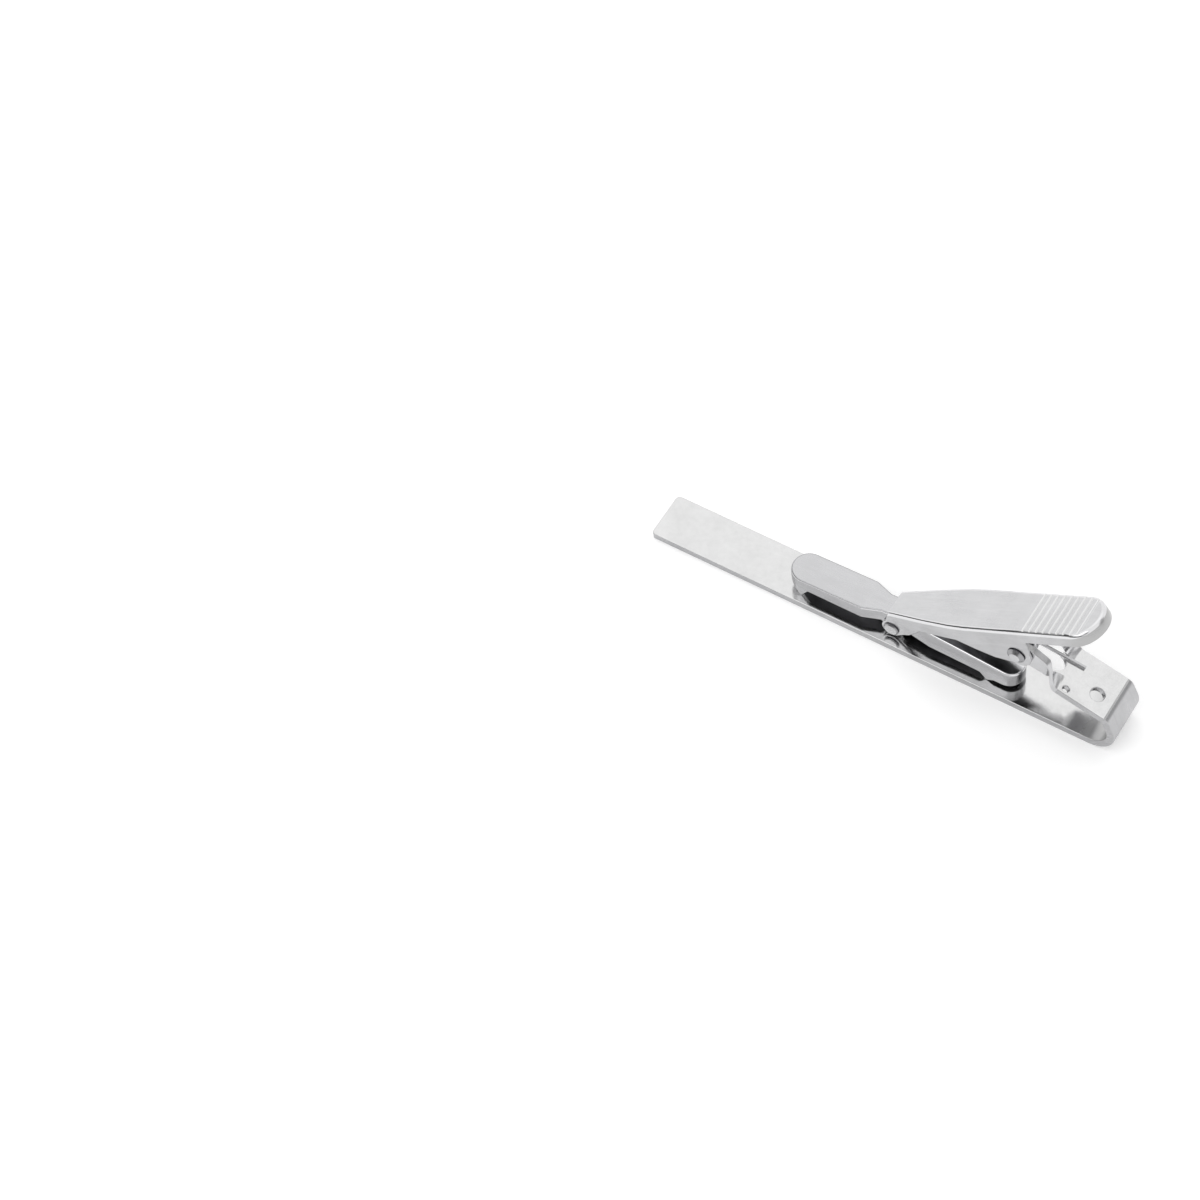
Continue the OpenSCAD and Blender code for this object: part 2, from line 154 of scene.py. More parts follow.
class NodeGroup(ABC):
    """A node group that is built once and shared by the materials."""

    NAME: str
    VECTORS: tuple[str, ...] = ("Vector",)
    NUMBERS: tuple[str, ...]
    RESULTS: tuple[str, ...] = ("Mask",)

    def build(self) -> bpy.types.NodeTree:
        """Builds the group once.

        Returns:
            The node group.
        """
        if self.NAME in bpy.data.node_groups:
            return bpy.data.node_groups[self.NAME]
        tree = bpy.data.node_groups.new(self.NAME, "ShaderNodeTree")
        for names, way, kind in ((self.VECTORS, "INPUT", "NodeSocketVector"),
                                 (self.NUMBERS, "INPUT", "NodeSocketFloat"),
                                 (self.RESULTS, "OUTPUT", "NodeSocketFloat")):
            for name in names:
                tree.interface.new_socket(name, in_out=way, socket_type=kind)
        make = NodeMaker(tree)
        given, result = make.add("NodeGroupInput"), make.add("NodeGroupOutput")
        self.fill(make, given.outputs, result.inputs)
        return tree

    @abstractmethod
    def fill(self, make: NodeMaker, given: bpy.types.NodeOutputs, result: bpy.types.NodeInputs) -> None:
        """Joins the group's inputs to its outputs.

        Args:
            make: Maker of the group's nodes.
            given: The group's inputs.
            result: The group's outputs.
        """


class SatinLines(NodeGroup):
    """Node group of fine drawn lines, as a satin wheel leaves on steel."""

    NAME = "Satin lines"
    VECTORS = ("Vector", "Stretch")
    NUMBERS = ("Fineness", "Depth")
    RESULTS = ("Height", "Tone")
    BROAD_SCALE = 0.21
    FINE_SHARE = 0.6
    CONTRAST = (0.34, 0.66)

    def fill(self, make: NodeMaker, given: bpy.types.NodeOutputs, result: bpy.types.NodeInputs) -> None:
        """Mixes fine and broad lines into a height and a tone.

        Args:
            make: Maker of the group's nodes.
            given: The group's inputs.
            result: The group's outputs.
        """
        stretched = make.add("ShaderNodeVectorMath", operation="MULTIPLY")
        make.join(given["Vector"], stretched.inputs[0])
        make.join(given["Stretch"], stretched.inputs[1])
        fine = make.value(make.add("ShaderNodeTexNoise"), Detail=3.0, Roughness=0.6)
        broad = make.value(make.add("ShaderNodeTexNoise"), Detail=2.0, Roughness=0.5)
        broad_scale = make.math("MULTIPLY", given["Fineness"], self.BROAD_SCALE)
        for noise, scale in ((fine, given["Fineness"]), (broad, broad_scale)):
            make.join(stretched.outputs[0], noise.inputs["Vector"])
            make.join(scale, noise.inputs["Scale"])
        mixed = make.math("ADD", make.math("MULTIPLY", fine.outputs["Fac"], self.FINE_SHARE),
                          make.math("MULTIPLY", broad.outputs["Fac"], 1.0 - self.FINE_SHARE))
        make.join(make.math("MULTIPLY", mixed, given["Depth"]), result["Height"])
        contrast = make.value(make.add("ShaderNodeMapRange"), From_Min=self.CONTRAST[0],
                              From_Max=self.CONTRAST[1])
        make.join(mixed, contrast.inputs["Value"])
        make.join(contrast.outputs["Result"], result["Tone"])


class HandlingMarks(NodeGroup):
    """Node group of faint smears and dust that handling leaves on bright steel."""

    NAME = "Handling marks"
    NUMBERS = ("Scale",)
    CONTRAST = (0.38, 0.7)

    def fill(self, make: NodeMaker, given: bpy.types.NodeOutputs, result: bpy.types.NodeInputs) -> None:
        """Turns a noise into a mask.

        Args:
            make: Maker of the group's nodes.
            given: The group's inputs.
            result: The group's outputs.
        """
        noise = make.value(make.add("ShaderNodeTexNoise"), Detail=5.0, Roughness=0.62)
        make.join(given["Vector"], noise.inputs["Vector"])
        make.join(given["Scale"], noise.inputs["Scale"])
        contrast = make.value(make.add("ShaderNodeMapRange"), From_Min=self.CONTRAST[0],
                              From_Max=self.CONTRAST[1])
        make.join(noise.outputs["Fac"], contrast.inputs["Value"])
        make.join(contrast.outputs["Result"], result["Mask"])


class PaintedShadeAlong(NodeGroup):
    """Node group of a slow change along a piece, used for painted shade, as from an open end into a dark
    channel.
    """

    NAME = "Painted shade along"
    NUMBERS = ("Start", "End")

    def fill(self, make: NodeMaker, given: bpy.types.NodeOutputs, result: bpy.types.NodeInputs) -> None:
        """Turns the place along the piece into a mask.

        Args:
            make: Maker of the group's nodes.
            given: The group's inputs.
            result: The group's outputs.
        """
        split = make.add("ShaderNodeSeparateXYZ")
        make.join(given["Vector"], split.inputs[0])
        ramp = make.add("ShaderNodeMapRange", interpolation_type="SMOOTHSTEP")
        for out, name in ((split.outputs["X"], "Value"), (given["Start"], "From Min"),
                          (given["End"], "From Max")):
            make.join(out, ramp.inputs[name])
        make.join(ramp.outputs["Result"], result["Mask"])


@dataclass(frozen=True)
class SteelFinish:
    """One finish of the clip's steel."""

    name: str
    tone: tuple[float, float, float]
    roughness: float
    spread: float
    depth: float
    fineness: float
    grain: Grain = Grain.ALONG
    shade: float = 0.1
    tilt: float = 0.0
    # Painted shade along the piece: between two places the tone slowly turns to another, and the roughness
    # rises.
    painted_shade_span: tuple[float, float] | None = None
    painted_shade_tone: float = 0.0
    fade_roughness: float = 0.0
    marks_scale: float = 260.0
    marks_share: float = 0.5

    def material(self) -> bpy.types.Material:
        """Builds the material once.

        Returns:
            The material of this finish.
        """
        if self.name in bpy.data.materials:
            return bpy.data.materials[self.name]
        made = bpy.data.materials.new(self.name)
        made.use_nodes = True
        make = NodeMaker(made.node_tree)
        shader = make.value(made.node_tree.nodes["Principled BSDF"], Metallic=1.0)
        place = make.add("ShaderNodeTexCoord").outputs["Object"]
        turned = make.value(make.add("ShaderNodeMapping"), Rotation=(0.0, math.radians(self.tilt), 0.0))
        make.join(place, turned.inputs["Vector"])
        lines = make.add("ShaderNodeGroup", node_tree=SatinLines().build())
        make.value(lines, Stretch=self.grain.value, Fineness=self.fineness, Depth=self.depth)
        make.join(turned.outputs["Vector"], lines.inputs["Vector"])
        marks = make.add("ShaderNodeGroup", node_tree=HandlingMarks().build())
        make.join(place, make.value(marks, Scale=self.marks_scale).inputs["Vector"])
        uneven = make.math("ADD", make.math("MULTIPLY", lines.outputs["Tone"], 1.0 - self.marks_share),
                           make.math("MULTIPLY", marks.outputs["Mask"], self.marks_share))
        rough = make.math("MULTIPLY_ADD", uneven, self.spread, self.roughness)
        (light, dark), colour = make.mix(uneven)
        light.default_value = (*self.tone, 1.0)
        dark.default_value = (*(c * (1.0 - self.shade) for c in self.tone), 1.0)
        if self.painted_shade_span is not None:
            colour, rough = self.faded(make, place, colour, rough)
        make.join(colour, shader.inputs["Base Color"])
        make.join(rough, shader.inputs["Roughness"])
        bump = make.value(make.add("ShaderNodeBump"), Strength=1.0, Distance=1.0)
        make.join(lines.outputs["Height"], bump.inputs["Height"])
        make.join(bump.outputs["Normal"], shader.inputs["Normal"])
        return made

    def faded(self, make: NodeMaker, place: bpy.types.NodeSocket, colour: bpy.types.NodeSocket,
              rough: bpy.types.NodeSocket) -> tuple[bpy.types.NodeSocket, bpy.types.NodeSocket]:
        """Lets the tone change slowly along the piece as painted shade, and the roughness with it.

        Args:
            make: Maker of the material's nodes.
            place: The piece's own coordinates.
            colour: The colour before the change.
            rough: The roughness before the change.

        Returns:
            The colour and the roughness after it.
        """
        start, end = self.painted_shade_span
        group = make.value(make.add("ShaderNodeGroup", node_tree=PaintedShadeAlong().build()), Start=start, End=end)
        make.join(place, group.inputs["Vector"])
        shade_mask = group.outputs["Mask"]
        (near, far), after = make.mix(shade_mask)
        make.join(colour, near)
        far.default_value = (self.painted_shade_tone, self.painted_shade_tone, self.painted_shade_tone, 1.0)
        return after, make.math("MULTIPLY_ADD", shade_mask, self.fade_roughness, rough)


LEVER_TILT = 32.54
SATIN = SteelFinish("satin_steel", (0.57, 0.57, 0.58), 0.24, 0.08, 4.0e-7, 9000.0)
# Jaw walls in a darker tone than the same satin on top: painted shade.
JAW_SIDE_SHADE = SteelFinish("jaw_side_painted_shade", (0.50, 0.50, 0.51), 0.2, 0.1, 5.0e-7, 9000.0, shade=0.2)
FOLD_SATIN = SteelFinish("fold_satin_steel", (0.56, 0.56, 0.57), 0.26, 0.08, 5.0e-7, 9000.0, Grain.ROUND,
                         0.2)
TAIL_SATIN = SteelFinish("tail_satin_steel", (0.83, 0.83, 0.83), 0.12, 0.12, 6.0e-7, 6000.0, Grain.EVEN, 0.12)
# Dark tone on the tail's underside: painted shade under the tail.
UNDER_TAIL_SHADE = SteelFinish("under_tail_painted_shade", (0.26, 0.26, 0.27), 0.26, 0.1, 6.0e-7, 7000.0, Grain.EVEN, 0.2)
LEVER_SATIN = SteelFinish("lever_satin_steel", (0.70, 0.70, 0.71), 0.22, 0.08, 4.0e-7, 9000.0, shade=0.14,
                          tilt=LEVER_TILT)
# Lever walls in a darker tone than the top, darker still towards the grip's end: painted shade.
LEVER_SIDE_SHADE = SteelFinish("lever_side_painted_shade", (0.60, 0.60, 0.61), 0.18, 0.1, 5.0e-7, 8000.0, shade=0.2,
                         tilt=LEVER_TILT, painted_shade_span=(0.0215, 0.0255), painted_shade_tone=0.46)
# Dark tone inside the lever's channel, lighter towards the open grip: painted shade.
LEVER_INSIDE_SHADE = SteelFinish("lever_inside_painted_shade", (0.20, 0.20, 0.21), 0.26, 0.16, 4.0e-7, 8000.0, Grain.EVEN,
                           0.2, painted_shade_span=(0.015, 0.022), painted_shade_tone=0.62)
# Polished bar back; its tone darkens towards the fold as painted shade, and it roughens there.
POLISHED_FOLD_SHADE = SteelFinish("polished_steel_painted_fold_shade", (0.70, 0.70, 0.70), 0.08, 0.1, 2.4e-6, 8000.0, Grain.EVEN, 0.14,
                       painted_shade_span=(0.024, 0.0268), painted_shade_tone=0.56, fade_roughness=0.2)
# Darker tone on the inside of the fold: painted shade in the crease.
FOLD_INSIDE_SHADE = SteelFinish("fold_inside_painted_shade", (0.56, 0.56, 0.56), 0.3, 0.1, 1.6e-6, 8000.0, Grain.EVEN, 0.12)
BRIGHT = SteelFinish("bright_steel", (0.78, 0.78, 0.79), 0.08, 0.08, 3.0e-7, 7000.0, Grain.EVEN, 0.06)
LEG_SATIN = SteelFinish("leg_satin_steel", (0.66, 0.66, 0.67), 0.2, 0.1, 5.0e-7, 7000.0, Grain.ROUND, 0.16)
# Groove faces in a lighter tone than the lever's top: painted highlight along the ribs.
GROOVE_HIGHLIGHT = SteelFinish("groove_painted_highlight", (0.74, 0.74, 0.74), 0.28, 0.08, 2.0e-7, 7000.0, Grain.EVEN, 0.04)
# Dark tone on the upper part of the jaw's near top rounding: a painted dark reflection along the edge.
DARK_EDGE_REFLECTION = SteelFinish("painted_dark_edge_reflection", (0.36, 0.36, 0.37), 0.24, 0.08, 3.0e-7, 7000.0, Grain.EVEN, 0.1)
RIVETED = SteelFinish("riveted_steel", (0.64, 0.64, 0.65), 0.2, 0.12, 8.0e-7, 6000.0, Grain.EVEN, 0.16)
# Darker bevel and very dark rim of the rivet heads: painted shade round the heads.
RIVET_EDGE_SHADE = SteelFinish("rivet_edge_painted_shade", (0.38, 0.38, 0.39), 0.2, 0.12, 5.0e-7, 6000.0, Grain.EVEN, 0.2)
RIM_SHADE = SteelFinish("rivet_rim_painted_shade", (0.12, 0.12, 0.13), 0.3, 0.1, 3.0e-7, 7000.0, Grain.EVEN, 0.2)
SHEARED = SteelFinish("sheared_edge", (0.52, 0.52, 0.53), 0.24, 0.12, 5.0e-7, 9000.0, shade=0.16)
# Very dark tone inside the jaw's channel: painted shade where the channel is closed in.
JAW_INSIDE_SHADE = SteelFinish("jaw_inside_painted_shade", (0.14, 0.14, 0.15), 0.3, 0.2, 1.2e-6, 8000.0, Grain.EVEN, 0.3)
WIRE = SteelFinish("drawn_wire", (0.60, 0.60, 0.61), 0.05, 0.06, 2.0e-7, 9000.0, Grain.EVEN, 0.1)


class Shape:
    """A mesh that is being made."""

    MERGE = 0.001 * MM
    SLIVER = 0.002 * MM

    def __init__(self) -> None:
        """Starts an empty mesh."""
        self.mesh = bmesh.new()
        self.flats_rule = False

    def outer_edges(self, least: float,
                    chosen: Callable[[bmesh.types.BMEdge], bool]) -> list[bmesh.types.BMEdge]:
        """Picks convex edges by the angle between their faces.

        Args:
            least: Least angle, in degrees.
            chosen: A further test of the edge.

        Returns:
            The edges.
        """
        return [e for e in self.mesh.edges
                if len(e.link_faces) == 2 and e.calc_face_angle_signed() > math.radians(least) and chosen(e)]

    def round_edges(self, picked: list[bmesh.types.BMEdge], radius: float, segments: int) -> None:
        """Rounds edges.

        Args:
            picked: The edges.
            radius: How far the rounding reaches from each edge, in metres.
            segments: Faces across the rounding.
        """
        bmesh.ops.bevel(self.mesh, geom=picked, offset=radius, offset_type="OFFSET", affect="EDGES",
                        segments=segments, profile=0.5, material=-1, clamp_overlap=False)

    def merge_slivers(self) -> None:
        """Merges the slivers that roundings leave where they meet."""
        bmesh.ops.remove_doubles(self.mesh, verts=self.mesh.verts, dist=self.SLIVER)
        bmesh.ops.dissolve_degenerate(self.mesh, dist=self.MERGE, edges=self.mesh.edges)

    def everything(self) -> list[bmesh.types.BMVert | bmesh.types.BMEdge | bmesh.types.BMFace]:
        """Lists the mesh's points, edges and faces."""
        return self.mesh.verts[:] + self.mesh.edges[:] + self.mesh.faces[:]

    def object(self, name: str, finishes: list[SteelFinish],
               finish_of: Callable[[bmesh.types.BMFace], SteelFinish] | None = None, crease: float = 48.0,
               apart: Callable[[bmesh.types.BMFace], bool] = lambda face: False) -> bpy.types.Object:
        """Turns the mesh into an object of its own.

        Args:
            name: Name of the new object.
            finishes: Its finishes.
            finish_of: Gives a face's finish; without it all faces take the first.
            crease: Angle past which an edge stays sharp, in degrees.
            apart: Picks faces that keep a sharp border with the others.

        Returns:
            The object, smooth but for its sharp edges.
        """
        self.mesh.normal_update()
        for face in self.mesh.faces:
            face.smooth = True
            face.material_index = finishes.index(finish_of(face)) if finish_of else 0
        for edge in self.mesh.edges:
            edge.smooth = (len(edge.link_faces) == 2 and edge.calc_face_angle(0.0) < math.radians(crease)
                           and len({apart(face) for face in edge.link_faces}) == 1)
        made = bpy.data.meshes.new(name)
        self.mesh.to_mesh(made)
        self.mesh.free()
        for finish in finishes:
            made.materials.append(finish.material())
        piece = bpy.data.objects.new(name, made)
        bpy.context.scene.collection.objects.link(piece)
        if self.flats_rule:
            even = piece.modifiers.new("flats stay flat", "WEIGHTED_NORMAL")
            even.mode, even.weight, even.keep_sharp = "FACE_AREA", 50, True
        return piece


class NodeCopy(Shape):
    """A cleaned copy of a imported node's mesh, ready for its edges to be rounded."""

    LOOSE = 0.004 * MM

    def __init__(self, node: str, flat: float = 0.6) -> None:
        """Copies the node's mesh, merges its loose triangles and dissolves what is flat.

        Args:
            node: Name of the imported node.
            flat: Angle under which two faces are taken as one, in degrees.
        """
        super().__init__()
        self.flats_rule = True
        self.mesh.from_mesh(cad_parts[node].data)
        bmesh.ops.remove_doubles(self.mesh, verts=self.mesh.verts, dist=self.LOOSE)
        bmesh.ops.dissolve_limit(self.mesh, angle_limit=math.radians(flat), verts=self.mesh.verts,
                                 edges=self.mesh.edges)
        self.mesh.normal_update()


@dataclass(frozen=True)
class Spine:
    """The line that runs inside a channel, half way up its walls."""

    start: tuple[float, float, float]
    end: tuple[float, float, float]

    def faces_in(self, face: bmesh.types.BMFace) -> bool:
        """Tells whether a face looks into the channel.

        Args:
            face: The face.

        Returns:
            True where the face's normal points at the line.
        """
        middle, start = face.calc_center_median(), Vector(self.start) * MM
        run = Vector(self.end) * MM - start
        share = min(1.0, max(0.0, (middle - start).dot(run) / run.length_squared))
        return face.normal.dot(middle - start - share * run) < 0.0


def seat(piece: bpy.types.Object, body: str, node: str) -> None:
    """Seats a piece on its body, in its node's stead.

    Args:
        piece: The new piece.
        body: The body that it rides on.
        node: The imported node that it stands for.
    """
    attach(piece, body)
    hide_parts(node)
    log.info("%s rides on %s for %s", piece.name, body, node)


@dataclass
class Strip:
    """The folded strip: the bar, its fold, the tail and the ears."""

    edge_radius: float = 0.1 * MM
    edge_angle: float = 40.0
    edge_segments: int = 3
    thickness: float = 1.0 * MM
    fold_x: float = 26.7 * MM
    fold_radius: float = 3.3 * MM
    tail_slope: float = 16.5
    crease: Vector = Vector((29.0105, 0.0, 6.39057))
    leg_root: float = 6.4 * MM
    leg_end: float = 10.4 * MM
    leg_height: float = 3.3 * MM
    sheared_below: float = 7.5 * MM
    sheared_facing: float = 0.72
    flat_facing: float = 0.9
    front_facing: float = -0.5
    level_facing: float = 0.9975

    def build(self) -> bpy.types.Object:
        """Builds the strip.

        Returns:
            The strip's object.
        """
        copy = NodeCopy("bar")
        edges = copy.outer_edges(self.edge_angle, self.off_the_legs)
        copy.round_edges(edges, self.edge_radius, self.edge_segments)
        copy.merge_slivers()
        piece = copy.object("folded_strip", [SATIN, POLISHED_FOLD_SHADE, SHEARED, LEG_SATIN, TAIL_SATIN, FOLD_SATIN,
                                             FOLD_INSIDE_SHADE, UNDER_TAIL_SHADE], self.finish_of)
        seat(piece, "bar_body", "bar")
        return piece

    def off_the_legs(self, edge: bmesh.types.BMEdge) -> bool:
        """Tells whether an edge lies off the twisted legs, which are too fine to round.

        Args:
            edge: An edge of the strip.

        Returns:
            True off the legs.
        """
        run, height = self.on_tail((edge.verts[0].co + edge.verts[1].co) / 2)
        return not (self.leg_root < run < self.leg_end and abs(height) < self.leg_height)

    def tail_up(self) -> Vector:
        """Gives the direction that points up from the tail's flat."""
        slope = math.radians(self.tail_slope)
        return Vector((math.sin(slope), 0.0, math.cos(slope)))

    def on_tail(self, point: Vector) -> tuple[float, float]:
        """Gives a point's run along the tail from the crease and its height over the tail.

        Args:
            point: The point.

        Returns:
            The run and the height, in metres.
        """
        off, up = point - self.crease * MM, self.tail_up()
        return off.z * up.x - off.x * up.z, off.dot(up)

    def finish_of(self, face: bmesh.types.BMFace) -> SteelFinish:
        """Chooses satin outside, polish inside that darkens towards the fold as painted shade, a plain
        sheared edge, and a dark tone under the tail and inside the fold as painted shade.

        Args:
            face: A face of the strip.

        Returns:
            Its finish.
        """
        middle, normal = face.calc_center_median(), face.normal
        if abs(normal.y) > self.sheared_facing and middle.z < self.sheared_below:
            return SHEARED
        on_bar, above = middle.x < self.fold_x, middle.z > 2 * self.thickness
        level = normal.dot(self.tail_up()) > self.level_facing
        if above and self.on_tail(middle)[0] > self.leg_root and not level:
            return LEG_SATIN
        if on_bar and not above:
            return SATIN if normal.z < self.front_facing else POLISHED_FOLD_SHADE
        if above and abs(normal.z) > self.flat_facing:
            return TAIL_SATIN if normal.z > 0.0 else UNDER_TAIL_SHADE
        if on_bar:
            return LEG_SATIN
        out = Vector((middle.x - self.fold_x, 0.0, middle.z - self.fold_radius)).dot(normal) > 0.0
        return FOLD_SATIN if out else FOLD_INSIDE_SHADE


@dataclass
class Lever:
    """The lever with its ribbed grip."""

    edge_radius: float = 0.07 * MM
    edge_angle: float = 50.0
    edge_segments: int = 2
    spine: Spine = Spine((3.4, 0.0, 3.6), (24.2, 0.0, 18.6))
    grip_end_x: float = 24.5 * MM
    top_rise: float = 0.97
    side_rise: float = 0.2
    groove_rise: tuple[float, float] = (0.6, 0.9995)
    groove_facing: float = 0.05

    def build(self) -> bpy.types.Object:
        """Builds the lever.

        Returns:
            The lever's object.
        """
        copy = NodeCopy("lever")
        edges = copy.outer_edges(self.edge_angle, lambda edge: True)
        copy.round_edges(edges, self.edge_radius, self.edge_segments)
        copy.merge_slivers()
        piece = copy.object("sprung_lever", [LEVER_SATIN, LEVER_INSIDE_SHADE, BRIGHT, LEVER_SIDE_SHADE, GROOVE_HIGHLIGHT],
                            self.finish_of, apart=self.in_groove)
        seat(piece, "lever_body", "lever")
        return piece

    def finish_of(self, face: bmesh.types.BMFace) -> SteelFinish:
        """Chooses satin outside, bright steel along the roundings, a lighter tone in the grooves as a painted
        highlight, a darker tone on the sides as painted shade and a dark tone inside as painted shade.

        Args:
            face: A face of the lever.

        Returns:
            Its finish.
        """
        if self.spine.faces_in(face):
            return LEVER_INSIDE_SHADE
        if self.in_groove(face):
            return GROOVE_HIGHLIGHT
        rise = self.rise(face)
        if rise > self.top_rise:
            return LEVER_SATIN
        return BRIGHT if rise > self.side_rise else LEVER_SIDE_SHADE

    def rise(self, face: bmesh.types.BMFace) -> float:
        """Gives how far a face's normal points up from the lever's top."""
        tilt = math.radians(LEVER_TILT)
        return face.normal.dot(Vector((-math.sin(tilt), 0.0, math.cos(tilt))))

    def in_groove(self, face: bmesh.types.BMFace) -> bool:
        """Tells whether a face lies in one of the grooves across the grip.

        Args:
            face: A face of the lever.

        Returns:
            True in a groove.
        """
        least, most = self.groove_rise
        return (least < self.rise(face) < most and abs(face.normal.y) < self.groove_facing
                and face.calc_center_median().x < self.grip_end_x)


@dataclass
class Jaw:
    """The channel jaw that hangs on the lever's nose."""

    top_radius: float = 0.26 * MM
    edge_angle: float = 50.0
    edge_segments: int = 4
    spine: Spine = Spine((-10.4, 0.0, 3.1), (15.4, 0.0, 3.1))
    foot: Vector = Vector((-10.45, 0.0, 1.1))
    tip: Vector = Vector((-12.51, 0.0, 3.0))
    covered_x: float = 3.0 * MM
    top_rise: float = 0.97
    line_rise: float = 0.8
    side_rise: float = 0.2
    wall_rise: float = 0.3
    under_rise: float = -0.1

    def build(self) -> bpy.types.Object:
        """Builds the jaw.

        Returns:
            The jaw's object.
        """
        copy = NodeCopy("jaw")
        self.slope_tip(copy)
        copy.round_edges(copy.outer_edges(self.edge_angle, self.at_top), self.top_radius, self.edge_segments)
        piece = copy.object("channel_jaw", [SATIN, JAW_INSIDE_SHADE, BRIGHT, JAW_SIDE_SHADE, DARK_EDGE_REFLECTION], self.finish_of)
        seat(piece, "jaw_body", "jaw")
        return piece

    def finish_of(self, face: bmesh.types.BMFace) -> SteelFinish:
        """Chooses satin on top, bright steel along the roundings, a dark tone inside the channel as painted
        shade, a dark line along the top's near edge as a painted reflection and a darker tone on the walls as
        painted shade.

        Args:
            face: A face of the jaw.

        Returns:
            Its finish.
        """
        if self.spine.faces_in(face):
            return JAW_INSIDE_SHADE
        covered, rise = face.calc_center_median().x > self.covered_x, face.normal.z
        if rise > self.top_rise:
            return BRIGHT if covered else SATIN
        if rise > self.line_rise and not covered:
            return DARK_EDGE_REFLECTION
        return BRIGHT if rise > self.side_rise else JAW_SIDE_SHADE

    def slope_tip(self, copy: NodeCopy) -> None:
        """Slopes the lower edge of the wall up from the foot to the tip.

        Args:
            copy: The jaw's mesh.
        """
        slope = (self.tip - self.foot).cross(Y_AXIS).normalized()
        down = -slope * math.copysign(1.0, slope.z)
        bmesh.ops.bisect_plane(copy.mesh, geom=copy.everything(), plane_co=self.foot * MM, plane_no=down,
                               clear_outer=True)
        bmesh.ops.holes_fill(copy.mesh, edges=[e for e in copy.mesh.edges if e.is_boundary])
        copy.mesh.normal_update()

    def at_top(self, edge: bmesh.types.BMEdge) -> bool:
        """Tells whether an edge lies between the jaw's top and its walls.

        Args:
            edge: An edge of the jaw.

        Returns:
            True for an edge of the top.
        """
        least, most = sorted(abs(face.normal.z) for face in edge.link_faces)
        return (least < self.wall_rise and most > self.line_rise
                and all(face.normal.z > self.under_rise for face in edge.link_faces))


@dataclass
class Rivet:
    """A pin with a riveted, bevelled end on both sides."""

    name: str
    node: str
    body: str
    centre: Vector
    radius: float
    head_radius: float
    head_height: float
    grip: float
    face_share: float
    edge_slope: float = 35.0
    steps: int = 40
    crease: float = 30.0
    rim_facing: float = 0.3
    face_facing: float = 0.95

    def build(self) -> bpy.types.Object:
        """Builds the pin by spinning half of its outline.

        Returns:
            The pin's object.
        """
        shape = Shape()
        top, face_radius = self.grip + self.head_height, self.head_radius * self.face_share
        slope = (self.head_radius - face_radius) * math.tan(math.radians(self.edge_slope))
        outline = [(self.radius, 0.0), (self.radius, self.grip), (self.head_radius, self.grip),
                   (self.head_radius, top - slope), (face_radius, top), (0.0, top)]
        points = [shape.mesh.verts.new(Vector((r, y, 0.0))) for r, y in outline]
        edges = [shape.mesh.edges.new(pair) for pair in zip(points, points[1:])]
        bmesh.ops.spin(shape.mesh, geom=points + edges, cent=(0.0, 0.0, 0.0), axis=Y_AXIS,
                       angle=math.tau, steps=self.steps, use_merge=True)
        bmesh.ops.remove_doubles(shape.mesh, verts=shape.mesh.verts, dist=shape.MERGE)
        bmesh.ops.mirror(shape.mesh, geom=shape.everything(), axis="Y", merge_dist=shape.MERGE)
        bmesh.ops.recalc_face_normals(shape.mesh, faces=shape.mesh.faces)
        bmesh.ops.translate(shape.mesh, verts=shape.mesh.verts, vec=self.centre)
        piece = shape.object(self.name, [RIVETED, RIVET_EDGE_SHADE, RIM_SHADE], self.finish_of, self.crease)
        seat(piece, self.body, self.node)
        return piece

    def finish_of(self, face: bmesh.types.BMFace) -> SteelFinish:
        """Chooses worn steel on the head's face, with a darker bevel and a very dark rim as painted shade
        round the head.

        Args:
            face: A face of the pin.

        Returns:
            Its finish.
        """
        facing = abs(face.normal.y)
        if facing < self.rim_facing:
            return RIM_SHADE
        return RIVET_EDGE_SHADE if facing < self.face_facing else RIVETED


